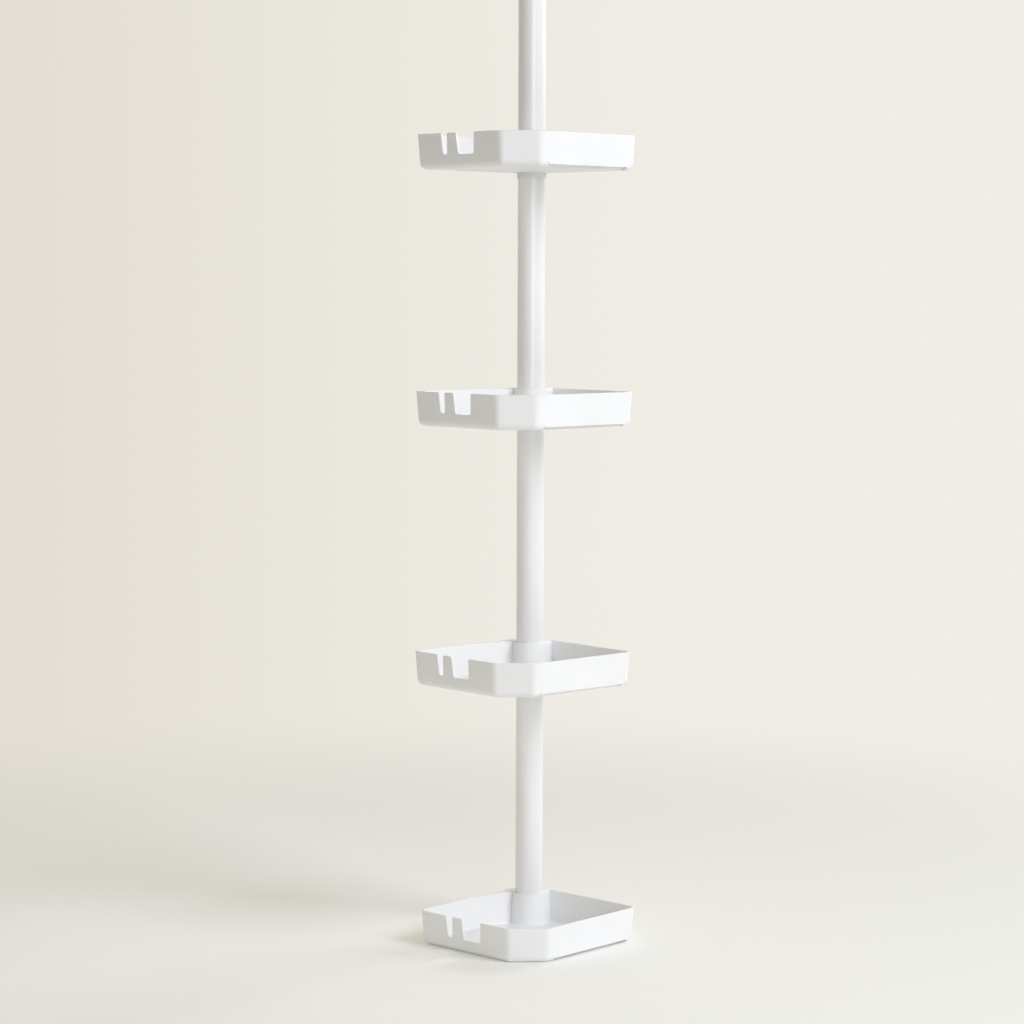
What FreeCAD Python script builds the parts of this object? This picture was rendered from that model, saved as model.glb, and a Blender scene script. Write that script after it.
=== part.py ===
import FreeCAD, Part
import math
import os

import Sketcher

# Floor-to-ceiling tension pole with four corner trays, in millimetres.
# The origin is on the pole's axis at the floor and +Z is up. The walls of the base tray lie along X and Y:
# its notched front wall faces -Y, its chamfered corner points to +X -Y, and the pole stands in the -X +Y corner.

values = {
    # trays
    "tray_width": 173.0,        # along X, over the rim
    "tray_depth": 186.5,        # along Y, over the rim
    "tray_height": 39.5,
    "tray_wall": 2.4,
    "tray_floor": 3.0,
    "wall_draft": 4.5,          # degrees, the walls lean in towards the floor
    "pole_inset": 28.0,         # pole axis to the outside of the two back walls
    "corner_radius": 10.5,
    "back_corner_radius": 30.0,
    "chamfer_leg": 33.5,
    "chamfer_blend": 12.0,
    "foot_radius": 8.0,         # outer edge round the underside
    "rim_round": 0.8,
    "floor_round": 3.0,
    "boss_radius": 19.3,        # boss round the pole, at the rim
    "web_angle": 22.5,          # degrees, where the web to the right-hand back wall leaves the boss
    "gusset_angle": 42.0,       # degrees past -Y, where the gusset to the other back wall leaves it
    "gusset_run": 60.0,         # pole axis to the gusset's end on that wall
    "gusset_blend": 40.0,
    "swivel_gap": 0.3,          # between boss and pole
    "seat_gap": 0.1,            # between tray and support ring
    # notches in the front wall, centres measured from the pole axis
    "notch_depth": 24.0,
    "narrow_notch_centre": 21.4,
    "narrow_notch_mouth": 9.4,
    "narrow_notch_bottom": 6.6,
    "narrow_notch_round": 3.2,
    "wide_notch_centre": 55.6,
    "wide_notch_mouth": 29.0,
    "wide_notch_bottom": 24.8,
    "wide_notch_round": 3.0,
    "notch_lip": 2.2,
    # drip recess under the right wall
    "drip_height": 3.2,
    "drip_inset": 9.0,
    "drip_front_end": 46.0,     # from the theoretical front corner
    "drip_back_end": 14.5,      # from the outside of the back wall
    "drip_ledge_round": 1.0,    # inside the tray, over the recess
    # drain slots in the floor
    "drain_width": 4.0,
    "drain_length": 34.0,
    "drain_spacing": 14.0,
    "drain_count": 5.0,
    "drain_round": 0.6,
    # levels
    "lower_tray_rise": 299.0,   # base tray to lower tray
    "middle_tray_rise": 298.0,  # lower tray to middle tray
    "upper_tray_rise": 290.0,   # middle tray to upper tray
    "joint_rise": 19.0,         # tray underside to the pole joint inside its boss
    "lower_tray_turn": 5.0,     # degrees clockwise from above, against the base tray
    "middle_tray_turn": 4.4,
    "upper_tray_turn": 3.4,
    # pole
    "pole_diameter": 32.0,
    "pole_tube_wall": 1.0,
    "press_gap": 0.05,          # pieces pressed or screwed together
    "coupler_spigot": 27.0,
    "coupler_flange": 2.0,
    "coupler_bore": 22.0,
    "ring_diameter": 34.4,
    "ring_height": 6.2,
    "ring_groove_depth": 0.6,
    "ring_edge": 0.4,
    "foot_pad_height": 4.0,
    "foot_pad_stud": 8.0,
    "foot_stud_length": 8.0,
    "foot_flange": 3.0,
    "foot_spigot": 20.0,
    # telescoping tube
    "upper_tube_diameter": 26.0,
    "upper_tube_wall": 1.0,
    "running_gap": 0.3,
    "slide_down": 195.0,
    "slide_up": 250.0,
    "tube_overlap": 49.0,
    "tube_show": 338.0,         # tube above the pole's mouth, at rest
    "guide_height": 14.0,
    "guide_spigot": 20.0,
    "guide_clearance": 5.0,     # guide to coupler, slid right down
    # twist lock
    "collet_spigot": 30.0,
    "collet_flange": 3.0,
    "collet_thread_height": 22.0,
    "collet_cone_height": 12.0,
    "collet_thread_diameter": 30.4,
    "collet_tip_diameter": 28.2,
    "collet_slot": 1.6,
    "sleeve_diameter": 40.0,
    "sleeve_height": 44.0,
    "sleeve_round": 2.5,
    "flute_radius": 2.6,
    "flute_count": 14.0,
    # sprung top
    "bush_flange_diameter": 29.0,
    "bush_flange": 4.0,
    "bush_spigot": 25.0,
    "plunger_diameter": 16.0,
    "plunger_head": 8.0,
    "plunger_stroke": 35.0,
    "plunger_spare": 3.0,
    "spring_length": 120.0,
    "spring_wire": 2.4,
    "spring_mean_diameter": 17.6,
    "spring_turns": 10.0,
    "seat_height": 12.0,
    "seat_pin_diameter": 12.0,
    "seat_pin_height": 12.0,
    "cup_diameter": 60.0,
    "cup_height": 16.0,
    "cup_rim": 4.0,
    "cup_neck_diameter": 25.0,
    "cup_socket": 12.0,
    "pad_thickness": 4.0,
    "pad_margin": 0.8,
}

doc = FreeCAD.newDocument("tension_pole_shelf")
sheet = doc.addObject("Spreadsheet::Sheet", "sizes")
for row, (alias, value) in enumerate(values.items(), 1):
    sheet.set(f"A{row}", alias)
    sheet.set(f"B{row}", str(value))
    sheet.setAlias(f"B{row}", alias)
doc.recompute()


class Size:
    """A length that carries its number and the sheet expression that gives it."""

    def __init__(self, number, text):
        self.number = float(number)
        self.text = text

    def __add__(self, other):
        other = as_size(other)
        return Size(self.number + other.number, f"({self.text} + {other.text})")

    def __sub__(self, other):
        other = as_size(other)
        return Size(self.number - other.number, f"({self.text} - {other.text})")

    def __mul__(self, other):
        other = as_size(other)
        return Size(self.number * other.number, f"({self.text} * {other.text})")

    def __truediv__(self, other):
        other = as_size(other)
        return Size(self.number / other.number, f"({self.text} / {other.text})")

    def __neg__(self):
        return Size(-self.number, f"(0 - {self.text})")


def as_size(value):
    return value if isinstance(value, Size) else Size(value, repr(float(value)))


def cell(alias):
    return Size(values[alias], f"sizes.{alias}")


def tangent(angle):
    return Size(math.tan(math.radians(angle.number)), f"tan({angle.text} * 1 deg)")


def sine(angle):
    return Size(math.sin(math.radians(angle.number)), f"sin({angle.text} * 1 deg)")


def cosine(angle):
    return Size(math.cos(math.radians(angle.number)), f"cos({angle.text} * 1 deg)")


nothing = as_size(0.0)
root_two = Size(math.sqrt(2.0), "sqrt(2)")

# Levels and radii that several pieces share.
pole_radius = cell("pole_diameter") / 2
pole_bore = pole_radius - cell("pole_tube_wall")
tube_radius = cell("upper_tube_diameter") / 2
tube_bore = tube_radius - cell("upper_tube_wall")
press_in_pole = pole_bore - cell("press_gap")
press_in_tube = tube_bore - cell("press_gap")
half_flange = cell("coupler_flange") / 2
tray_levels = [nothing]
for rise in ("lower_tray_rise", "middle_tray_rise", "upper_tray_rise"):
    tray_levels.append(tray_levels[-1] + cell(rise))
joint_levels = [level + cell("joint_rise") for level in tray_levels[1:]]
foot_top = cell("foot_pad_height") + cell("foot_flange")
guide_bottom = (
    joint_levels[-1] + half_flange + cell("coupler_spigot") + cell("guide_clearance") + cell("slide_down")
)
tube_bottom = guide_bottom + cell("guide_height")
mouth = tube_bottom + cell("slide_up") + cell("tube_overlap") + cell("collet_spigot")
tube_top = mouth + cell("tube_show")
bush_top = tube_top + cell("bush_flange")
head_top = tube_top - cell("bush_spigot") - cell("running_gap")
head_bottom = head_top - cell("plunger_head")
spring_bottom = head_bottom - cell("spring_length")
cup_bottom = bush_top + cell("plunger_stroke") + cell("plunger_spare")
cup_top = cup_bottom + cell("cup_height")

parts = []


def bind(item, path, size):
    item.setExpression(path, size.text)


def new_body(name):
    body = doc.addObject("PartDesign::Body", name)
    body.Label = name
    parts.append(body)
    return body


def new_sketch(body, name, plane, offset=nothing):
    """A sketch on one of the body's origin planes, moved along that plane's normal by offset."""
    sketch = body.newObject("Sketcher::SketchObject", f"{body.Name}_{name}")
    support = [item for item in body.Origin.OriginFeatures if item.Role == plane][0]
    sketch.AttachmentSupport = [(support, "")]
    sketch.MapMode = "FlatFace"
    bind(sketch, "AttachmentOffset.Base.z", offset)
    return sketch


def dimension(sketch, kind, name, size, *where):
    index = sketch.addConstraint(Sketcher.Constraint(kind, *where, size.number))
    sketch.renameConstraint(index, name)
    bind(sketch, f"Constraints.{name}", size)


def vector(x, y):
    return FreeCAD.Vector(x, y, 0.0)


def draw_outline(sketch, corners, round_side=None, round_radius=None):
    """Draws a closed outline through corners (x, y, radius), a radius of None being a sharp corner.

    The side that leaves corner round_side is an arc of round_radius about the origin, run clockwise, and
    the two corners on that arc are placed by their x alone.
    """
    count = len(corners)
    points = [vector(x.number, y.number) for x, y, radius in corners]
    starts = list(points)
    ends = list(points)
    arcs = {}
    for i, (x, y, radius) in enumerate(corners):
        if radius is None:
            continue
        back = (points[i - 1] - points[i]).normalize()
        ahead = (points[(i + 1) % count] - points[i]).normalize()
        half = back.getAngle(ahead) / 2
        reach = radius.number / math.tan(half)
        centre = points[i] + (back + ahead).normalize() * (radius.number / math.sin(half))
        ends[i] = points[i] + back * reach
        starts[i] = points[i] + ahead * reach
        left_turn = back.cross(ahead).z < 0
        arcs[i] = (centre, radius, left_turn)

    side_start, side_end = {}, {}
    for i in range(count):
        a, b = starts[i], ends[(i + 1) % count]
        if i == round_side:
            circle = Part.Circle(vector(0, 0), FreeCAD.Vector(0, 0, 1), a.Length)
            arc = Part.ArcOfCircle(circle, math.atan2(b.y, b.x), math.atan2(a.y, a.x))
            side = sketch.addGeometry(arc, False)
            side_start[i], side_end[i] = (side, 2), (side, 1)
        else:
            side = sketch.addGeometry(Part.LineSegment(a, b), False)
            side_start[i], side_end[i] = (side, 1), (side, 2)

    for i, (x, y, radius) in enumerate(corners):
        before, after = side_end[(i - 1) % count], side_start[i]
        if radius is None:
            sketch.addConstraint(Sketcher.Constraint("Coincident", *before, *after))
            on_arc = round_side is not None and i in (round_side, (round_side + 1) % count)
            dimension(sketch, "DistanceX", f"x{i}", x, *before)
            if not on_arc:
                dimension(sketch, "DistanceY", f"y{i}", y, *before)
            continue
        centre, radius, left_turn = arcs[i]
        spokes = [math.atan2(p.y - centre.y, p.x - centre.x) for p in (ends[i], starts[i])]
        if not left_turn:
            spokes.reverse()
        circle = Part.Circle(centre, FreeCAD.Vector(0, 0, 1), radius.number)
        arc = sketch.addGeometry(Part.ArcOfCircle(circle, *spokes), False)
        first, last = ((arc, 1), (arc, 2)) if left_turn else ((arc, 2), (arc, 1))
        sketch.addConstraint(Sketcher.Constraint("Tangent", *before, *first))
        sketch.addConstraint(Sketcher.Constraint("Tangent", *last, *after))
        dimension(sketch, "Radius", f"r{i}", radius, arc)
        tip = sketch.addGeometry(Part.Point(points[i]), True)
        sketch.addConstraint(Sketcher.Constraint("PointOnObject", tip, 1, before[0]))
        sketch.addConstraint(Sketcher.Constraint("PointOnObject", tip, 1, after[0]))
        dimension(sketch, "DistanceX", f"x{i}", x, tip, 1)
        dimension(sketch, "DistanceY", f"y{i}", y, tip, 1)

    if round_side is not None:
        side = side_start[round_side][0]
        sketch.addConstraint(Sketcher.Constraint("Coincident", side, 3, -1, 1))
        dimension(sketch, "Radius", "round_side", round_radius, side)


def draw_circle(sketch, x, y, radius):
    circle = Part.Circle(vector(x.number, y.number), FreeCAD.Vector(0, 0, 1), radius.number)
    item = sketch.addGeometry(circle, False)
    dimension(sketch, "DistanceX", "centre_x", x, item, 3)
    dimension(sketch, "DistanceY", "centre_y", y, item, 3)
    dimension(sketch, "Radius", "radius", radius, item)


def extrude(body, kind, name, sketch, length, taper=None, upwards=None):
    """A Pad or Pocket of the sketch, its way along the sketch's normal set by upwards."""
    feature = body.newObject(f"PartDesign::{kind}", f"{body.Name}_{name}")
    feature.Profile = sketch
    bind(feature, "Length", length)
    default_way = kind == "Pad"
    feature.Reversed = (default_way if upwards is None else upwards) != default_way
    if taper is not None:
        bind(feature, "TaperAngle", taper)
    sketch.Visibility = False
    return feature


def round_edges(body, name, radius, wanted):
    """Fillets the body's edges that have a real corner and pass the wanted test."""
    doc.recompute()
    base = body.Tip
    shape = base.Shape
    names = []
    for number, edge in enumerate(shape.Edges, 1):
        if wanted(edge) and is_sharp(shape, edge):
            names.append(f"Edge{number}")
    fillet = body.newObject("PartDesign::Fillet", f"{body.Name}_{name}")
    fillet.Base = (base, names)
    bind(fillet, "Radius", radius)
    doc.recompute()
    return fillet


def is_sharp(shape, edge):
    faces = shape.ancestorsOfType(edge, Part.Face)
    if len(faces) != 2:
        return False
    middle = edge.valueAt((edge.FirstParameter + edge.LastParameter) / 2)
    normals = [face.normalAt(*face.Surface.parameter(middle)) for face in faces]
    return math.degrees(normals[0].getAngle(normals[1])) > 5.0


def turned(name, outline, level=nothing):
    """A piece turned about the Z axis from (radius, height, edge radius) points, lifted to level."""
    body = new_body(name)
    sketch = new_sketch(body, "section", "XZ_Plane")
    draw_outline(sketch, outline)
    turn = body.newObject("PartDesign::Revolution", f"{name}_turn")
    turn.Profile = sketch
    turn.ReferenceAxis = (sketch, ["V_Axis"])
    turn.Angle = 360.0
    sketch.Visibility = False
    bind(body, "Placement.Base.z", level)
    return body


def tube(name, bore, radius, low, high, edge=None):
    return turned(
        name,
        [(bore, nothing, edge), (radius, nothing, edge), (radius, high - low, edge), (bore, high - low, edge)],
        low,
    )


def pattern_round(body, name, feature, count):
    pattern = body.newObject("PartDesign::PolarPattern", f"{body.Name}_{name}")
    pattern.Originals = [feature]
    axis = [item for item in body.Origin.OriginFeatures if item.Role == "Z_Axis"][0]
    pattern.Axis = (axis, [""])
    pattern.Angle = 360.0
    bind(pattern, "Occurrences", count)
    body.Tip = pattern
    return pattern


def tray(name, level, clockwise):
    """One moulded tray, its underside at level, turned clockwise (seen from above) about the pole."""
    width, depth, height = cell("tray_width"), cell("tray_depth"), cell("tray_height")
    wall, floor, inset = cell("tray_wall"), cell("tray_floor"), cell("pole_inset")
    leg, blend, draft = cell("chamfer_leg"), cell("chamfer_blend"), cell("wall_draft")
    right = width - inset
    front = inset - depth
    lean = height * tangent(draft)
    body = new_body(name)

    outline = new_sketch(body, "rim", "XY_Plane", height)
    draw_outline(outline, [
        (-inset, inset, cell("back_corner_radius")),
        (-inset, front, cell("corner_radius")),
        (right - leg, front, blend),
        (right, front + leg, blend),
        (right, inset, cell("corner_radius")),
    ])
    extrude(body, "Pad", "shell", outline, height, -draft, upwards=False)
    round_edges(body, "foot_edge", cell("foot_radius"), lambda edge: edge.BoundBox.ZMax < 0.01)

    drip_low = front + cell("drip_front_end")
    drip_high = inset - cell("drip_back_end")
    drip_side = right - lean - cell("drip_inset")
    drip_face = right - lean + cell("drip_height") * tangent(draft)
    skirt = new_sketch(body, "skirt", "XY_Plane", cell("drip_height"))
    draw_outline(skirt, [
        (drip_side, drip_low, None),
        (drip_face, drip_low, None),
        (drip_face, drip_high, None),
        (drip_side, drip_high, None),
    ])
    extrude(body, "Pad", "drip_skirt", skirt, cell("foot_radius") - cell("drip_height"), draft)

    inner = inset - wall
    cut_back = wall * (root_two - 1)
    boss, web, gusset = cell("boss_radius"), cell("web_angle"), cell("gusset_angle")
    cavity = new_sketch(body, "cavity", "XY_Plane", height)
    draw_outline(cavity, [
        (-inner, -cell("gusset_run"), cell("gusset_blend")),
        (-inner, front + wall, cell("corner_radius") - wall),
        (right - leg - cut_back, front + wall, blend - wall),
        (right - wall, front + leg + cut_back, blend - wall),
        (right - wall, inner, cell("corner_radius") - wall),
        ((boss - inner * sine(web)) / cosine(web), inner, None),
        (boss * cosine(web), boss * sine(web), None),
        (-boss * sine(gusset), -boss * cosine(gusset), None),
    ], round_side=6, round_radius=boss)
    extrude(body, "Pocket", "hollow", cavity, height - floor, -draft)
    floor_level = floor.number
    round_edges(body, "floor_edge", cell("floor_round"), lambda edge: (
        abs(edge.BoundBox.ZMin - floor_level) < 0.01 and abs(edge.BoundBox.ZMax - floor_level) < 0.01
    ))

    ledge = new_sketch(body, "ledge", "XY_Plane", floor / 2)
    draw_outline(ledge, [
        (drip_side - wall, drip_low - wall, cell("floor_round")),
        (right - lean - wall / 2, drip_low - wall, None),
        (right - lean - wall / 2, drip_high + wall, None),
        (drip_side - wall, drip_high + wall, cell("floor_round")),
    ])
    extrude(body, "Pad", "drip_ledge", ledge, cell("drip_height") + floor / 2)
    ledge_top = (cell("drip_height") + floor).number
    ledge_side = (drip_side - wall + cell("floor_round")).number
    round_edges(body, "ledge_edge", cell("drip_ledge_round"), lambda edge: (
        edge.BoundBox.ZMin > ledge_top - 0.01 and edge.BoundBox.ZMax < ledge_top + 0.01
        and edge.BoundBox.XMin < ledge_side + 0.01
    ))
    recess = new_sketch(body, "recess", "XY_Plane")
    draw_outline(recess, [
        (drip_side, drip_low, None),
        (right, drip_low, None),
        (right, drip_high, None),
        (drip_side, drip_high, None),
    ])
    extrude(body, "Pocket", "drip_recess", recess, cell("drip_height"), upwards=True)

    notches = (
        ("narrow_notch", cell("narrow_notch_centre"), cell("narrow_notch_mouth") / 2,
         cell("narrow_notch_bottom") / 2, cell("narrow_notch_round")),
        ("wide_notch", cell("wide_notch_centre"), cell("wide_notch_mouth") / 2,
         cell("wide_notch_bottom") / 2, cell("wide_notch_round")),
    )
    for label, centre, mouth_half, bottom_half, corner in notches:
        sketch = new_sketch(body, label, "XZ_Plane", -front + wall)
        draw_outline(sketch, [
            (centre - bottom_half, height - cell("notch_depth"), corner),
            (centre + bottom_half, height - cell("notch_depth"), corner),
            (centre + mouth_half, height + wall / 2, None),
            (centre - mouth_half, height + wall / 2, None),
        ])
        extrude(body, "Pocket", label + "_cut", sketch, lean + wall * 3)

    top = height.number
    front_inner = (front + wall).number

    def crosses_front_rim(edge):
        box = edge.BoundBox
        return box.ZMin > top - 0.01 and box.XLength < 0.5 and box.YMax < front_inner + 0.5

    round_edges(body, "notch_lips", cell("notch_lip"), crosses_front_rim)
    round_edges(body, "rim_edge", cell("rim_round"), lambda edge: edge.BoundBox.ZMin > top - 0.01)

    bore = new_sketch(body, "bore", "XY_Plane", height + wall)
    draw_circle(bore, nothing, nothing, pole_radius + cell("swivel_gap"))
    extrude(body, "Pocket", "bore_cut", bore, height + wall * 2)
    radius_of_bore = (pole_radius + cell("swivel_gap")).number
    round_edges(body, "bore_edge", cell("rim_round"), lambda edge: (
        edge.BoundBox.ZMin > top - 0.01 and edge.BoundBox.XMax < radius_of_bore + 0.01
    ))

    boss_side = boss / root_two
    middle_x = (right - inset) / 2 + boss_side / 2
    middle_y = (front + inset) / 2 - boss_side / 2
    drain_radius = cell("drain_width") / 2
    half_run = cell("drain_length") / 2
    first_x = middle_x - cell("drain_spacing") * (cell("drain_count") - 1) / 2
    drain = new_sketch(body, "drain", "XY_Plane")
    draw_slot(drain, first_x, middle_y, drain_radius, half_run - drain_radius)
    cut = extrude(body, "Pocket", "drain_cut", drain, floor * 2, upwards=True)
    row = body.newObject("PartDesign::LinearPattern", f"{name}_drain_row")
    row.Originals = [cut]
    axis = [item for item in body.Origin.OriginFeatures if item.Role == "X_Axis"][0]
    row.Direction = (axis, [""])
    bind(row, "Length", cell("drain_spacing") * (cell("drain_count") - 1))
    bind(row, "Occurrences", cell("drain_count"))
    body.Tip = row
    row_low = (middle_y - half_run).number
    row_high = (middle_y + half_run).number
    round_edges(body, "drain_edge", cell("drain_round"), lambda edge: (
        abs(edge.BoundBox.ZMin - floor_level) < 0.01 and abs(edge.BoundBox.ZMax - floor_level) < 0.01
        and edge.BoundBox.YMin > row_low - 0.01 and edge.BoundBox.YMax < row_high + 0.01
    ))

    body.Placement = FreeCAD.Placement(
        FreeCAD.Vector(0, 0, level.number), FreeCAD.Rotation(FreeCAD.Vector(0, 0, -1), clockwise.number)
    )
    bind(body, "Placement.Base.z", level)
    if clockwise.number:
        bind(body, "Placement.Rotation.Angle", clockwise)
    doc.recompute()
    return body


def draw_slot(sketch, x, y, radius, half):
    """A slot with round ends, centred on (x, y) and running along Y."""
    up = FreeCAD.Vector(0, 0, 1)
    cx, cy, r, run = x.number, y.number, radius.number, half.number
    top = sketch.addGeometry(Part.ArcOfCircle(Part.Circle(vector(cx, cy + run), up, r), 0, math.pi), False)
    low = sketch.addGeometry(
        Part.ArcOfCircle(Part.Circle(vector(cx, cy - run), up, r), math.pi, 2 * math.pi), False
    )
    left = sketch.addGeometry(Part.LineSegment(vector(cx - r, cy + run), vector(cx - r, cy - run)), False)
    right = sketch.addGeometry(Part.LineSegment(vector(cx + r, cy - run), vector(cx + r, cy + run)), False)
    for one, other in (((top, 2), (left, 1)), ((left, 2), (low, 1)), ((low, 2), (right, 1)),
                       ((right, 2), (top, 1))):
        sketch.addConstraint(Sketcher.Constraint("Tangent", *one, *other))
    dimension(sketch, "Radius", "radius", radius, top)
    dimension(sketch, "DistanceX", "top_x", x, top, 3)
    dimension(sketch, "DistanceY", "top_y", y + half, top, 3)
    dimension(sketch, "DistanceY", "low_y", y - half, low, 3)


def foot():
    stud = cell("foot_pad_stud") / 2
    edge = cell("rim_round")
    pad_top = cell("foot_pad_height")
    turned("foot_pad", [
        (nothing, nothing, None), (pole_radius, nothing, edge), (pole_radius, pad_top, None),
        (stud, pad_top, None), (stud, pad_top + cell("foot_stud_length"), None),
        (nothing, pad_top + cell("foot_stud_length"), None),
    ])
    hole = stud + cell("press_gap")
    plug_top = cell("foot_flange") + cell("foot_spigot")
    turned("foot_plug", [
        (hole, nothing, None), (pole_radius, nothing, None), (pole_radius, cell("foot_flange"), None),
        (press_in_pole, cell("foot_flange"), None), (press_in_pole, plug_top, edge), (hole, plug_top, None),
    ], pad_top)


def pole():
    lows = [foot_top] + [level + half_flange for level in joint_levels]
    highs = [level - half_flange for level in joint_levels] + [mouth]
    names = ("bottom", "lower", "middle", "top")
    for name, low, high in zip(names, lows, highs):
        tube(f"pole_section_{name}", pole_bore, pole_radius, low, high)

    bore = cell("coupler_bore") / 2
    end = half_flange + cell("coupler_spigot")
    edge = cell("rim_round")
    for name, level in zip(("lower", "middle", "upper"), joint_levels):
        turned(f"coupler_{name}", [
            (bore, -end, None), (press_in_pole, -end, edge), (press_in_pole, -half_flange, None),
            (pole_radius, -half_flange, None), (pole_radius, half_flange, None),
            (press_in_pole, half_flange, None), (press_in_pole, end, edge), (bore, end, None),
        ], level)

    inner = pole_radius + cell("press_gap")
    outer = cell("ring_diameter") / 2
    groove = cell("ring_groove_depth")
    height = cell("ring_height")
    round_rib = cell("ring_edge")
    low_groove, high_groove = height * 0.3, height * 0.6
    for name, level in zip(("lower", "middle", "upper"), tray_levels[1:]):
        turned(f"support_ring_{name}", [
            (inner, nothing, None), (outer, nothing, round_rib),
            (outer, low_groove - groove, None), (outer - groove, low_groove, None),
            (outer, low_groove + groove, None), (outer, high_groove - groove, None),
            (outer - groove, high_groove, None), (outer, high_groove + groove, None),
            (outer, height, round_rib), (inner, height, None),
        ], level - height - cell("seat_gap"))


def twist_lock():
    bore = tube_radius + cell("running_gap")
    flange_top = cell("collet_flange")
    thread_top = flange_top + cell("collet_thread_height")
    tip = thread_top + cell("collet_cone_height")
    thread_radius = cell("collet_thread_diameter") / 2
    tip_radius = cell("collet_tip_diameter") / 2
    body = turned("lock_collet", [
        (bore, -cell("collet_spigot"), None), (press_in_pole, -cell("collet_spigot"), None),
        (press_in_pole, nothing, None), (pole_radius, nothing, None), (pole_radius, flange_top, None),
        (thread_radius, flange_top, None), (thread_radius, thread_top, None), (tip_radius, tip, None),
        (bore, tip, None),
    ], mouth)
    half_slot = cell("collet_slot") / 2
    sketch = new_sketch(body, "slot", "XZ_Plane", -pole_radius)
    draw_outline(sketch, [
        (-half_slot, thread_top - cell("collet_cone_height"), None),
        (half_slot, thread_top - cell("collet_cone_height"), None),
        (half_slot, tip + half_slot, None), (-half_slot, tip + half_slot, None),
    ])
    cut = extrude(body, "Pocket", "slot_cut", sketch, pole_radius, upwards=True)
    pattern_round(body, "slots", cut, as_size(4))

    gap = cell("running_gap")
    low = flange_top + gap
    top = low + cell("sleeve_height")
    outer = cell("sleeve_diameter") / 2
    edge = cell("sleeve_round")
    neck = tip + gap
    sleeve = turned("lock_sleeve", [
        (thread_radius + gap, low, None), (outer, low, edge), (outer, top, edge),
        (tube_radius + gap, top, None), (tube_radius + gap, neck, None), (tip_radius + gap, neck, None),
        (thread_radius + gap, thread_top, None),
    ], mouth)
    flute = new_sketch(sleeve, "flute", "XY_Plane", low - gap)
    draw_circle(flute, outer + cell("flute_radius") * 0.6, nothing, cell("flute_radius"))
    groove = extrude(sleeve, "Pocket", "flute_cut", flute, cell("sleeve_height") + gap * 2, upwards=True)
    pattern_round(sleeve, "flutes", groove, cell("flute_count"))


def extension():
    tube("upper_tube", tube_bore, tube_radius, tube_bottom, tube_top)
    edge = cell("rim_round")
    guide_radius = pole_bore - cell("running_gap")
    guide_end = cell("guide_height") + cell("guide_spigot")
    core = cell("plunger_diameter") / 2
    turned("tube_guide", [
        (core, nothing, None), (guide_radius, nothing, edge), (guide_radius, cell("guide_height"), None),
        (press_in_tube, cell("guide_height"), None), (press_in_tube, guide_end, edge),
        (core, guide_end, None),
    ], guide_bottom)

    pin = cell("seat_pin_diameter") / 2
    turned("spring_seat", [
        (nothing, -cell("seat_height"), None), (press_in_tube, -cell("seat_height"), None),
        (press_in_tube, nothing, None), (pin, nothing, None), (pin, cell("seat_pin_height"), edge),
        (nothing, cell("seat_pin_height"), None),
    ], spring_bottom)

    bush_bore = cell("plunger_diameter") / 2 + cell("running_gap")
    turned("end_bush", [
        (bush_bore, -cell("bush_spigot"), None), (press_in_tube, -cell("bush_spigot"), None),
        (press_in_tube, nothing, None), (cell("bush_flange_diameter") / 2, nothing, None),
        (cell("bush_flange_diameter") / 2, cell("bush_flange"), edge), (bush_bore, cell("bush_flange"), None),
    ], tube_top)


def spring():
    """The coil between spring seat and plunger head."""
    body = new_body("tension_spring")
    wire = cell("spring_wire") / 2
    first = wire + cell("press_gap")
    rise = cell("spring_length") - first * 2
    sketch = new_sketch(body, "wire", "XZ_Plane")
    draw_circle(sketch, cell("spring_mean_diameter") / 2, first, wire)
    coil = body.newObject("PartDesign::AdditiveHelix", "tension_spring_coil")
    coil.Profile = sketch
    coil.ReferenceAxis = (sketch, ["V_Axis"])
    coil.Mode = "height-turns-angle"
    bind(coil, "Height", rise)
    bind(coil, "Turns", cell("spring_turns"))
    sketch.Visibility = False
    bind(body, "Placement.Base.z", spring_bottom)


def ceiling_end():
    edge = cell("rim_round")
    rod = cell("plunger_diameter") / 2
    head_radius = tube_bore - cell("running_gap")
    rod_end = cup_bottom + cell("cup_socket") - head_bottom
    turned("plunger", [
        (nothing, nothing, None), (head_radius, nothing, edge), (head_radius, cell("plunger_head"), None),
        (rod, cell("plunger_head"), None), (rod, rod_end, edge), (nothing, rod_end, None),
    ], head_bottom)

    socket = rod + cell("press_gap")
    neck = cell("cup_neck_diameter") / 2
    outer = cell("cup_diameter") / 2
    height = cell("cup_height")
    turned("ceiling_cup", [
        (socket, nothing, None), (neck, nothing, edge), (neck, height / 3, cell("cup_rim")),
        (outer, height - cell("cup_rim"), edge), (outer, height, None), (nothing, height, None),
        (nothing, cell("cup_socket") + cell("press_gap"), None),
        (socket, cell("cup_socket") + cell("press_gap"), None),
    ], cup_bottom)
    pad_radius = outer - cell("pad_margin")
    turned("ceiling_pad", [
        (nothing, nothing, None), (pad_radius, nothing, None),
        (pad_radius, cell("pad_thickness"), edge), (nothing, cell("pad_thickness"), None),
    ], cup_top)


foot()
pole()
twist_lock()
extension()
spring()
ceiling_end()
tray("tray_base", tray_levels[0], nothing)
tray("tray_lower", tray_levels[1], cell("lower_tray_turn"))
tray("tray_middle", tray_levels[2], cell("middle_tray_turn"))
tray("tray_upper", tray_levels[3], cell("upper_tray_turn"))
doc.recompute()

for item in doc.Objects:
    if "Invalid" in item.State or "Error" in item.State:
        raise RuntimeError(f"{item.Name} did not compute: {item.State}")
for body in parts:
    if body.Shape.isNull() or not body.Shape.isValid():
        raise RuntimeError(f"{body.Label} has no valid shape")
    if len(body.Shape.Solids) != 1:
        raise RuntimeError(f"{body.Label} is {len(body.Shape.Solids)} solids, not one")

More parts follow.
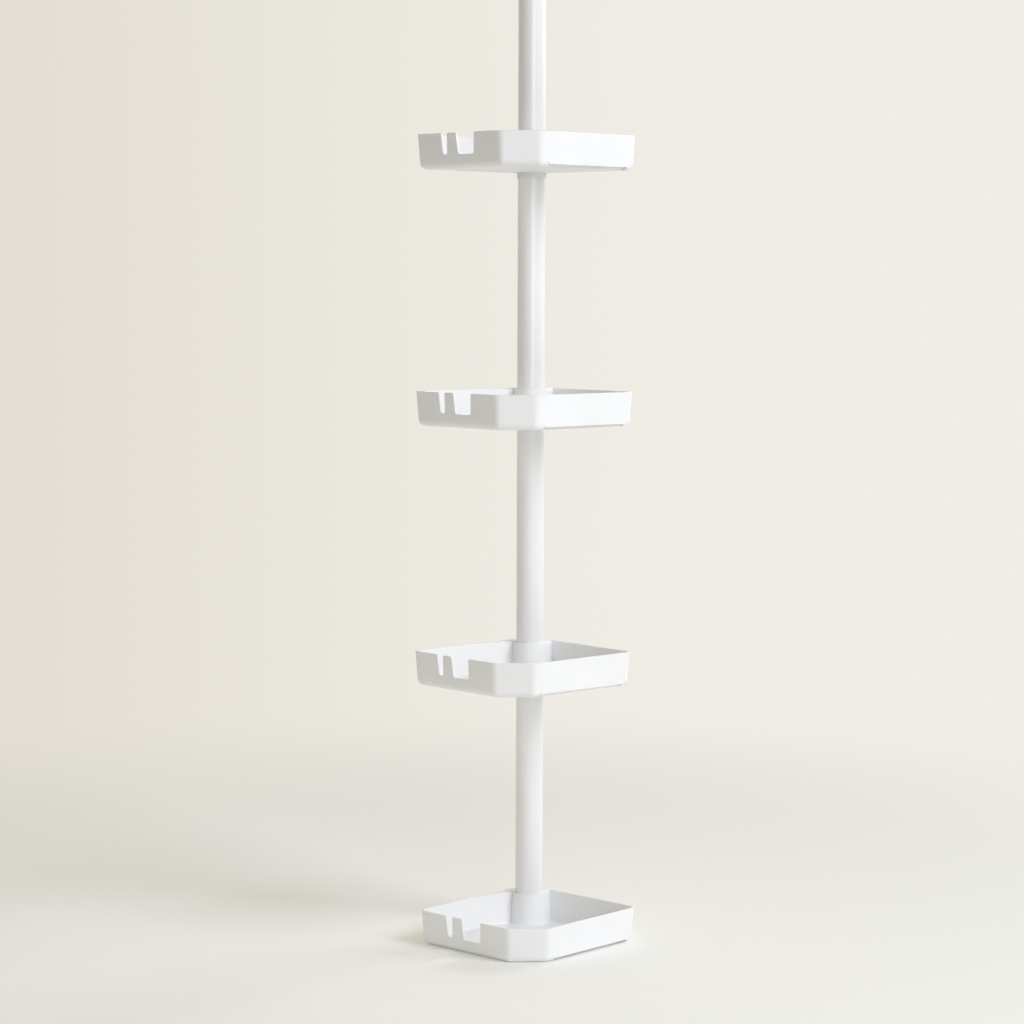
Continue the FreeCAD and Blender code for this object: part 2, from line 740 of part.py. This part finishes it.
os.makedirs("parts", exist_ok=True)
for body in parts:
    body.Shape.exportStep(os.path.join("parts", f"{body.Label}.step"))
    box = body.Shape.BoundBox
    print(f"{body.Label}: {body.Shape.Volume:.0f} mm3, z {box.ZMin:.1f} to {box.ZMax:.1f}")
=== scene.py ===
import math
import bmesh
import bpy
from mathutils import Matrix, Vector

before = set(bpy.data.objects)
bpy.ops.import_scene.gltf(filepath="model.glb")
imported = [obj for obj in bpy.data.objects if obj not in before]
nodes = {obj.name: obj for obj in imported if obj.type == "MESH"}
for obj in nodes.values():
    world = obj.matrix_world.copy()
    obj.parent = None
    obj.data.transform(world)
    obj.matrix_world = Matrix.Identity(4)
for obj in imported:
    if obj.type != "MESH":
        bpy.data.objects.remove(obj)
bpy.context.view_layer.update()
print("CAD frame loaded,", len(nodes), "nodes")


def linear(red, green, blue):
    # 0 to 255 screen values into a scene colour
    def one(value):
        share = value / 255
        return share / 12.92 if share <= 0.04045 else ((share + 0.055) / 1.055) ** 2.4
    return (one(red), one(green), one(blue), 1.0)


def setSockets(node, values):
    for socket, value in values.items():
        node.inputs[socket].default_value = value


def addNode(tree, kind, place, values=None, **settings):
    # values go on the node's sockets, settings on the node itself
    node = tree.nodes.new(kind)
    node.location = place
    for name, setting in settings.items():
        setattr(node, name, setting)
    setSockets(node, values or {})
    return node


def link(tree, fromNode, output, toNode, socket):
    tree.links.new(fromNode.outputs[output], toNode.inputs[socket])


def addRamp(tree, place, source, output, low, high, curve="SMOOTHERSTEP"):
    # goes from 0 where the source is low to 1 where it is high
    ramp = addNode(tree, "ShaderNodeMapRange", place, {"From Min": low, "From Max": high},
                   interpolation_type=curve)
    link(tree, source, output, ramp, "Value")
    return ramp


def addBlend(tree, place, share, output, colours):
    # colour A where the share is 0, colour B where it is 1
    blend = addNode(tree, "ShaderNodeMix", place, colours, data_type="RGBA")
    link(tree, share, output, blend, "Factor")
    return blend


def addAlong(tree, place, source, output, axis):
    # how far the source's vector goes along an axis
    along = addNode(tree, "ShaderNodeVectorMath", place, {1: axis}, operation="DOT_PRODUCT")
    link(tree, source, output, along, 0)
    return along


def newGroup(name, inputs, outputs):
    # inputs are (name, socket type, default), outputs (name, socket type)
    group = bpy.data.node_groups.new(name, "ShaderNodeTree")
    for label, kind, value in inputs:
        socket = group.interface.new_socket(name=label, in_out="INPUT", socket_type=kind)
        socket.default_value = value
    for label, kind in outputs:
        group.interface.new_socket(name=label, in_out="OUTPUT", socket_type=kind)
    start = addNode(group, "NodeGroupInput", (-900, 0))
    end = addNode(group, "NodeGroupOutput", (900, 0))
    return group, start, end


def useGroup(tree, group, place, values):
    return addNode(tree, "ShaderNodeGroup", place, values, node_tree=group)


def newMaterial(name):
    material = bpy.data.materials.new(name)
    material.use_nodes = True
    tree = material.node_tree
    surface = tree.nodes["Principled BSDF"]
    surface.location = (600, 0)
    tree.nodes["Material Output"].location = (900, 0)
    return material, tree, surface


def makeMottle():
    # slow change of tone over a moulding or a coat of paint, 0 to 1
    group, start, end = newGroup("mottle", [
        ("Vector", "NodeSocketVector", (0, 0, 0)),
        ("Scale", "NodeSocketFloat", 20.0),
        ("Contrast", "NodeSocketFloat", 1.0),
    ], [("Mask", "NodeSocketFloat")])
    cloud = addNode(group, "ShaderNodeTexNoise", (-600, 100), {"Detail": 3.0, "Roughness": 0.55})
    link(group, start, "Vector", cloud, "Vector")
    link(group, start, "Scale", cloud, "Scale")
    middle = 0.5            # the cloud's mean, which the contrast leaves where it is
    centred = addNode(group, "ShaderNodeMath", (-300, 100), {1: middle}, operation="SUBTRACT")
    link(group, cloud, "Fac", centred, 0)
    spread = addNode(group, "ShaderNodeMath", (0, 100), {2: middle},
                     operation="MULTIPLY_ADD", use_clamp=True)
    link(group, centred, "Value", spread, 0)
    link(group, start, "Contrast", spread, 1)
    link(group, spread, "Value", end, "Mask")
    return group


def makeGrain():
    # the fine skin of a surface: small cells over a longer wave, as a height
    group, start, end = newGroup("grain", [
        ("Vector", "NodeSocketVector", (0, 0, 0)),
        ("Fine Scale", "NodeSocketFloat", 2500.0),
        ("Wave Scale", "NodeSocketFloat", 120.0),
        ("Wave Share", "NodeSocketFloat", 0.3),
    ], [("Height", "NodeSocketFloat")])
    fine = addNode(group, "ShaderNodeTexNoise", (-600, 200), {"Detail": 1.0})
    wave = addNode(group, "ShaderNodeTexNoise", (-600, -100), {"Detail": 0.0})
    link(group, start, "Vector", fine, "Vector")
    link(group, start, "Fine Scale", fine, "Scale")
    link(group, start, "Vector", wave, "Vector")
    link(group, start, "Wave Scale", wave, "Scale")
    both = addNode(group, "ShaderNodeMix", (-200, 100), data_type="FLOAT")
    link(group, start, "Wave Share", both, "Factor")
    link(group, fine, "Fac", both, "A")
    link(group, wave, "Fac", both, "B")
    link(group, both, "Result", end, "Height")
    return group


def makeEdge():
    # finds the edges of a moulding: 1 on an edge, 0 on a flat, and the normal of the eased edge
    group, start, end = newGroup("easedEdge", [
        ("Radius", "NodeSocketFloat", 0.0005),
        ("Gain", "NodeSocketFloat", 6.0),
    ], [("Mask", "NodeSocketFloat"), ("Normal", "NodeSocketVector")])
    eased = addNode(group, "ShaderNodeBevel", (-600, 100), samples=6)
    link(group, start, "Radius", eased, "Radius")
    sharp = addNode(group, "ShaderNodeNewGeometry", (-600, -100))
    match = addNode(group, "ShaderNodeVectorMath", (-300, 0), operation="DOT_PRODUCT")
    link(group, eased, "Normal", match, 0)
    link(group, sharp, "Normal", match, 1)
    turned = addNode(group, "ShaderNodeMath", (0, 0), {0: 1.0}, operation="SUBTRACT")
    link(group, match, "Value", turned, 1)
    gained = addNode(group, "ShaderNodeMath", (300, 0), operation="MULTIPLY", use_clamp=True)
    link(group, turned, "Value", gained, 0)
    link(group, start, "Gain", gained, 1)
    link(group, gained, "Value", end, "Mask")
    link(group, eased, "Normal", end, "Normal")
    return group


mottle = makeMottle()
grain = makeGrain()
easedEdge = makeEdge()


def makeFinish(name, look):
    # every finish has a tone, edges painted lighter as a highlight, a shine and a skin; its look says
    # how much of each
    material, tree, surface = newMaterial(name)
    setSockets(surface, look["surface"])
    place = addNode(tree, "ShaderNodeTexCoord", (-1300, 0))
    tone = useGroup(tree, mottle, (-1000, 300), {
        "Scale": look["mottleScale"], "Contrast": look["mottleContrast"],
    })
    edge = useGroup(tree, easedEdge, (-1000, -300), {
        "Radius": look["edgeRadius"], "Gain": look["edgeGain"],
    })
    skin = useGroup(tree, grain, (-1000, -600), {
        "Fine Scale": look["grainScale"],
        "Wave Scale": look["waveScale"], "Wave Share": look["waveShare"],
    })
    link(tree, place, "Object", tone, "Vector")
    link(tree, place, "Object", skin, "Vector")

    colours = addNode(tree, "ShaderNodeValToRGB", (-700, 300))
    colours.color_ramp.elements[0].color = look["toneLow"]
    colours.color_ramp.elements[1].color = look["toneHigh"]
    link(tree, tone, "Mask", colours, "Fac")
    # painted highlight: the edge mask lightens every edge towards a lighter colour
    edgeHighlighted = addBlend(tree, (-300, 300), edge, "Mask", {"B": look["paintedEdgeHighlight"]})
    link(tree, colours, "Color", edgeHighlighted, "A")
    link(tree, edgeHighlighted, "Result", surface, "Base Color")

    shine = addNode(tree, "ShaderNodeMapRange", (-300, 0), {
        "To Min": look["roughLow"], "To Max": look["roughHigh"],
    })
    link(tree, tone, "Mask", shine, "Value")
    link(tree, shine, "Result", surface, "Roughness")

    bump = addNode(tree, "ShaderNodeBump", (200, -400), {
        "Strength": look["bumpStrength"], "Distance": look["bumpDepth"],
    })
    link(tree, skin, "Height", bump, "Height")
    link(tree, edge, "Normal", bump, "Normal")
    link(tree, bump, "Normal", surface, "Normal")
    return material


# scales are patches in a metre, the edge radius and the bump depth are metres; the edge colour is a
# painted highlight along the edges
trayPlasticLook = {
    "toneLow": linear(237, 238, 240), "toneHigh": linear(243, 244, 247),
    "paintedEdgeHighlight": linear(247, 248, 250),
    "mottleScale": 14.0, "mottleContrast": 1.6,
    "roughLow": 0.34, "roughHigh": 0.44,
    "edgeRadius": 0.0006, "edgeGain": 5.0,
    "grainScale": 2600.0, "waveScale": 90.0, "waveShare": 0.35,
    "bumpStrength": 0.35, "bumpDepth": 0.00012,
    "surface": {"Specular IOR Level": 0.45},
}
ringPlasticLook = dict(
    trayPlasticLook, toneLow=linear(232, 232, 231), toneHigh=linear(239, 239, 239),
    roughLow=0.42, roughHigh=0.52, edgeRadius=0.0003,
)
lockPlasticLook = dict(
    trayPlasticLook, toneLow=linear(232, 234, 237), toneHigh=linear(240, 241, 244),
    roughLow=0.38, roughHigh=0.5, grainScale=1800.0, bumpStrength=0.5, edgeRadius=0.0004,
)
cupPlasticLook = dict(lockPlasticLook, roughLow=0.33, roughHigh=0.43, bumpStrength=0.3)
couplerPlasticLook = dict(
    trayPlasticLook, toneLow=linear(206, 204, 196), toneHigh=linear(216, 214, 207),
    paintedEdgeHighlight=linear(226, 224, 218), roughLow=0.45, roughHigh=0.6,
)
polePaintLook = {
    "toneLow": linear(234, 235, 237), "toneHigh": linear(240, 241, 243),
    "paintedEdgeHighlight": linear(246, 246, 247),
    "mottleScale": 22.0, "mottleContrast": 0.5,
    "roughLow": 0.24, "roughHigh": 0.34,
    "edgeRadius": 0.0003, "edgeGain": 4.0,
    "grainScale": 900.0, "waveScale": 320.0, "waveShare": 0.5,
    "bumpStrength": 0.25, "bumpDepth": 0.0001,
    "surface": {"Specular IOR Level": 0.5, "Coat Weight": 0.25, "Coat Roughness": 0.18},
}
gripRubberLook = {
    "toneLow": linear(150, 150, 148), "toneHigh": linear(166, 166, 163),
    "paintedEdgeHighlight": linear(182, 182, 179),
    "mottleScale": 60.0, "mottleContrast": 1.8,
    "roughLow": 0.7, "roughHigh": 0.86,
    "edgeRadius": 0.0003, "edgeGain": 4.0,
    "grainScale": 1500.0, "waveScale": 300.0, "waveShare": 0.3,
    "bumpStrength": 0.8, "bumpDepth": 0.0002,
    "surface": {"Specular IOR Level": 0.35},
}
springSteelLook = {
    "toneLow": linear(150, 150, 152), "toneHigh": linear(186, 186, 188),
    "paintedEdgeHighlight": linear(200, 200, 202),
    "mottleScale": 120.0, "mottleContrast": 2.0,
    "roughLow": 0.22, "roughHigh": 0.4,
    "edgeRadius": 0.0001, "edgeGain": 2.0,
    "grainScale": 4000.0, "waveScale": 600.0, "waveShare": 0.4,
    "bumpStrength": 0.3, "bumpDepth": 0.00005,
    "surface": {"Metallic": 1.0},
}

# what each material of the CAD model is finished in
finishes = {
    "tray_plastic": makeFinish("trayPlastic", trayPlasticLook),
    "pole_paint": makeFinish("polePaint", polePaintLook),
    "ring_paint": makeFinish("ringPlastic", ringPlasticLook),
    "lock_plastic": makeFinish("lockPlastic", lockPlasticLook),
    "cup_plastic": makeFinish("cupPlastic", cupPlasticLook),
    "coupler_plastic": makeFinish("couplerPlastic", couplerPlasticLook),
    "grip_rubber": makeFinish("gripRubber", gripRubberLook),
    "spring_steel": makeFinish("springSteel", springSteelLook),
}
for node in nodes.values():
    for slot in node.material_slots:
        slot.material = finishes[slot.material.name]
print("finishes made:", len(finishes))

camera = {
    "distance": 3.267,      # from the pole's axis, along the floor
    "height": 0.765,
    "side": 42.32,          # degrees round from -Y towards +X
    "pan": 0.379,           # degrees to the left
    "tilt": 4.37,           # degrees down
    "roll": 0.2,            # degrees
    "lens": 98.18,          # millimetres, as the sensor is
    "sensor": 36.0,
    "shiftUp": -0.02,       # in picture widths
    "farthest": 100.0,      # how far off it still sees
}


def viewAxes():
    # level directions of the view: ahead and to the right
    side = math.radians(camera["side"])
    ahead = Vector((-math.sin(side), math.cos(side), 0))
    right = Vector((math.cos(side), math.sin(side), 0))
    return ahead, right


def placeCamera():
    data = bpy.data.cameras.new("camera")
    data.lens = camera["lens"]
    data.sensor_width = camera["sensor"]
    data.shift_y = camera["shiftUp"]
    data.clip_end = camera["farthest"]
    item = bpy.data.objects.new("camera", data)
    bpy.context.scene.collection.objects.link(item)
    ahead, right = viewAxes()
    place = -ahead * camera["distance"] + Vector((0, 0, camera["height"]))
    pan, tilt, roll = (math.radians(camera[name]) for name in ("pan", "tilt", "roll"))
    level = ahead * math.cos(pan) - right * math.sin(pan)
    across = right * math.cos(pan) + ahead * math.sin(pan)
    forward = level * math.cos(tilt) - Vector((0, 0, math.sin(tilt)))
    upward = Vector((0, 0, math.cos(tilt))) + level * math.sin(tilt)
    rolledRight = across * math.cos(roll) + upward * math.sin(roll)
    rolledUp = upward * math.cos(roll) - across * math.sin(roll)
    turn = Matrix((rolledRight, rolledUp, -forward)).transposed()
    item.matrix_world = Matrix.Translation(place) @ turn.to_4x4()
    bpy.context.scene.camera = item


placeCamera()
print("camera placed")

studio = {
    "floorRadius": 40.0,
    "floorSides": 96,
    # painted shade: the floor is lighter on the left and darker on the right, evening out the lamps'
    # falloff
    "floorLeft": linear(248, 247, 244),
    "floorRight": linear(236, 236, 234),
    # painted shade: the far floor is black, standing in for a dark room that throws no light back
    "floorFar": linear(0, 0, 0),
    # painted light: the floor glows by itself, lifting its shadows though it is no lamp
    "floorPaintedGlow": (0.058, 0.062, 0.066, 1.0),    # keeps the shadows pale
    "floorRoughness": 0.9,
    "floorSpecular": 0.1,
    "paperStart": -0.5,     # this far right of the pole the floor's colour starts to change
    "paperEnd": 0.6,
    "reachStart": 1.8,      # this far from the pole the floor starts to throw less light back
    "reachEnd": 4.2,
    "fadeStart": 0.5,       # this far from the pole the lit floor starts to turn into the background
    "fadeEnd": 1.8,
    # painted shade: the background is darker on the left, as if lit from the right
    "backLeft": linear(222, 217, 207),
    "backRight": linear(240, 237, 230),
    "backStart": -0.36,     # share of a direction that points right, where the background changes
    "backEnd": 0.14,
    # what the room throws back from each side
    "skyUp": (0.165, 0.176, 0.19),
    "skyFront": (0.07, 0.067, 0.063),
    "skyBack": (1.2, 1.08, 0.82),
    "skyRight": (0.47, 0.45, 0.41),
    "skyLeft": (0.78, 0.71, 0.53),
    "skyNarrow": 2.0,       # a higher power draws each side's light in towards its middle
    "lampAim": 0.45,        # height on the pole
}


def addBackground(tree, source, output):
    # the plain background, painted a little darker towards the left as if lit from the right; the
    # source says how far right it is
    share = addRamp(tree, (-300, -300), source, output, studio["backStart"], studio["backEnd"])
    return addBlend(tree, (-100, -300), share, "Result", {
        "A": studio["backLeft"], "B": studio["backRight"],
    })


def seenRays(tree, place):
    # 1 for what the eye sees, straight or mirrored, and 0 for the light on a matt surface
    path = addNode(tree, "ShaderNodeLightPath", (place[0] - 400, place[1]))
    straight = addNode(tree, "ShaderNodeMath", (place[0] - 200, place[1]), operation="MAXIMUM")
    link(tree, path, "Is Camera Ray", straight, 0)
    link(tree, path, "Is Glossy Ray", straight, 1)
    every = addNode(tree, "ShaderNodeMath", place, operation="MAXIMUM")
    link(tree, straight, "Value", every, 0)
    link(tree, path, "Is Transmission Ray", every, 1)
    return every


def makeLobe():
    # adds soft light from one side: full along the axis, none from behind it
    group, start, end = newGroup("skyLobe", [
        ("Before", "NodeSocketVector", (0, 0, 0)),
        ("Direction", "NodeSocketVector", (0, 0, 0)),
        ("Axis", "NodeSocketVector", (0, 0, 1)),
        ("Colour", "NodeSocketVector", (1, 1, 1)),
    ], [("Light", "NodeSocketVector")])
    facing = addNode(group, "ShaderNodeVectorMath", (-600, 0), operation="DOT_PRODUCT")
    link(group, start, "Direction", facing, 0)
    link(group, start, "Axis", facing, 1)
    front = addNode(group, "ShaderNodeMath", (-300, 0), {1: 0.0}, operation="MAXIMUM")
    link(group, facing, "Value", front, 0)
    soft = addNode(group, "ShaderNodeMath", (0, 0), {1: studio["skyNarrow"]}, operation="POWER")
    link(group, front, "Value", soft, 0)
    lit = addNode(group, "ShaderNodeVectorMath", (300, 0), operation="SCALE")
    link(group, start, "Colour", lit, "Vector")
    link(group, soft, "Value", lit, "Scale")
    total = addNode(group, "ShaderNodeVectorMath", (600, 0), operation="ADD")
    link(group, start, "Before", total, 0)
    link(group, lit, "Vector", total, 1)
    link(group, total, "Vector", end, "Light")
    return group


def makeWorld():
    world = bpy.data.worlds.new("studio")
    bpy.context.scene.world = world
    world.use_nodes = True
    tree = world.node_tree
    place = addNode(tree, "ShaderNodeTexCoord", (-1600, 0))
    ahead, right = viewAxes()
    sides = {
        "skyUp": Vector((0, 0, 1)),
        "skyFront": -ahead, "skyBack": ahead,
        "skyRight": right, "skyLeft": -right,
    }
    group = makeLobe()
    lobes = [
        useGroup(tree, group, (-1300 + 220 * count, 0), {"Axis": axis, "Colour": studio[name]})
        for count, (name, axis) in enumerate(sides.items())
    ]
    for lobe in lobes:
        link(tree, place, "Generated", lobe, "Direction")
    for before, lobe in zip(lobes, lobes[1:]):
        link(tree, before, "Light", lobe, "Before")
    light = tree.nodes["Background"]
    light.location = (0, 0)
    link(tree, lobes[-1], "Light", light, "Color")

    across = addAlong(tree, (-500, -300), place, "Generated", right)
    seen = addNode(tree, "ShaderNodeBackground", (100, -300))
    link(tree, addBackground(tree, across, "Value"), "Result", seen, "Color")
    choose = addNode(tree, "ShaderNodeMixShader", (300, 0))
    link(tree, seenRays(tree, (0, 300)), "Value", choose, 0)
    link(tree, light, "Background", choose, 1)
    link(tree, seen, "Background", choose, 2)
    output = tree.nodes["World Output"]
    output.location = (600, 0)
    link(tree, choose, "Shader", output, "Surface")


def addPaper(tree, away, sideways):
    # the floor's colour, painted darker towards the right to even out the lamps' stronger light there,
    # and painted black far away so that the far floor throws no light back
    side = addRamp(tree, (0, 0), sideways, "Value", studio["paperStart"], studio["paperEnd"], "LINEAR")
    paper = addBlend(tree, (200, 0), side, "Result", {
        "A": studio["floorLeft"], "B": studio["floorRight"],
    })
    reach = addRamp(tree, (200, 250), away, "Value", studio["reachEnd"], studio["reachStart"])
    near = addBlend(tree, (400, 0), reach, "Result", {"A": studio["floorFar"]})
    link(tree, paper, "Result", near, "B")
    return near


def addBackdrop(tree, place, sideways, ahead):
    # the background goes on over the far floor, and is the same in front of the pole as behind it
    inward = addAlong(tree, (-1000, -500), place, "Object", ahead)
    depth = addNode(tree, "ShaderNodeMath", (-850, -500), operation="ABSOLUTE")
    link(tree, inward, "Value", depth, 0)
    reached = addNode(tree, "ShaderNodeMath", (-700, -500), {1: camera["distance"]}, operation="ADD")
    link(tree, depth, "Value", reached, 0)
    path = addNode(tree, "ShaderNodeCombineXYZ", (-600, -300))
    link(tree, sideways, "Value", path, "X")
    link(tree, reached, "Value", path, "Y")
    direction = addNode(tree, "ShaderNodeVectorMath", (-500, -300), operation="NORMALIZE")
    link(tree, path, "Vector", direction, 0)
    across = addNode(tree, "ShaderNodeSeparateXYZ", (-400, -300))
    link(tree, direction, "Vector", across, "Vector")
    plain = addNode(tree, "ShaderNodeEmission", (300, -300))
    link(tree, addBackground(tree, across, "X"), "Result", plain, "Color")
    return plain


def makeStudioFloor():
    material, tree, surface = newMaterial("studioFloor")
    setSockets(surface, {
        "Roughness": studio["floorRoughness"], "Specular IOR Level": studio["floorSpecular"],
        # painted light: the floor's own glow
        "Emission Color": studio["floorPaintedGlow"], "Emission Strength": 1.0,
    })
    ahead, right = viewAxes()
    place = addNode(tree, "ShaderNodeTexCoord", (-1200, 0))
    sideways = addAlong(tree, (-900, 0), place, "Object", right)
    away = addNode(tree, "ShaderNodeVectorMath", (-900, 300), operation="LENGTH")
    link(tree, place, "Object", away, 0)
    link(tree, addPaper(tree, away, sideways), "Result", surface, "Base Color")

    plain = addBackdrop(tree, place, sideways, ahead)
    fade = addRamp(tree, (-300, 300), away, "Value", studio["fadeStart"], studio["fadeEnd"])
    share = addNode(tree, "ShaderNodeMath", (0, 300), operation="MULTIPLY")
    link(tree, fade, "Result", share, 0)
    link(tree, seenRays(tree, (-200, 600)), "Value", share, 1)
    choose = addNode(tree, "ShaderNodeMixShader", (750, 300))
    link(tree, share, "Value", choose, 0)
    link(tree, surface, "BSDF", choose, 1)
    link(tree, plain, "Emission", choose, 2)
    link(tree, choose, "Shader", tree.nodes["Material Output"], "Surface")
    return material


def makeFloor():
    mesh = bpy.data.meshes.new("floor")
    sheet = bmesh.new()
    bmesh.ops.create_circle(
        sheet, cap_ends=True, segments=studio["floorSides"], radius=studio["floorRadius"],
    )
    sheet.to_mesh(mesh)
    sheet.free()
    mesh.materials.append(makeStudioFloor())
    floor = bpy.data.objects.new("floor", mesh)
    bpy.context.scene.collection.objects.link(floor)


# away is along the floor from the pole, and forward is degrees from the right towards the camera
lamps = {
    "key": {
        "away": 3.2, "height": 2.66, "forward": 37.0, "size": 1.9,
        "power": 80.5, "colour": (0.94, 0.955, 0.985),
    },
    "rim": {
        "away": 3.8, "height": 2.175, "forward": -40.0, "size": 1.5,
        "power": 44.0, "colour": (0.96, 0.98, 1.0),
    },
    "fill": {
        "away": 3.8, "height": 1.2, "forward": 75.0, "size": 1.5,
        "power": 31.0, "colour": (1.0, 1.0, 1.0),
    },
}


def addLamp(name, lamp):
    data = bpy.data.lights.new(name, "AREA")
    data.shape = "SQUARE"
    data.size = lamp["size"]
    data.energy = lamp["power"]
    data.color = lamp["colour"]
    item = bpy.data.objects.new(name, data)
    bpy.context.scene.collection.objects.link(item)
    ahead, right = viewAxes()
    forward = math.radians(lamp["forward"])
    level = right * math.cos(forward) - ahead * math.sin(forward)
    item.location = level * lamp["away"] + Vector((0, 0, lamp["height"]))
    aim = Vector((0, 0, studio["lampAim"])) - item.location
    item.rotation_mode = "QUATERNION"
    item.rotation_quaternion = aim.to_track_quat("-Z", "Y")


makeWorld()
makeFloor()
for name, lamp in lamps.items():
    addLamp(name, lamp)
bpy.context.scene.view_settings.view_transform = "Standard"
print("studio lit")
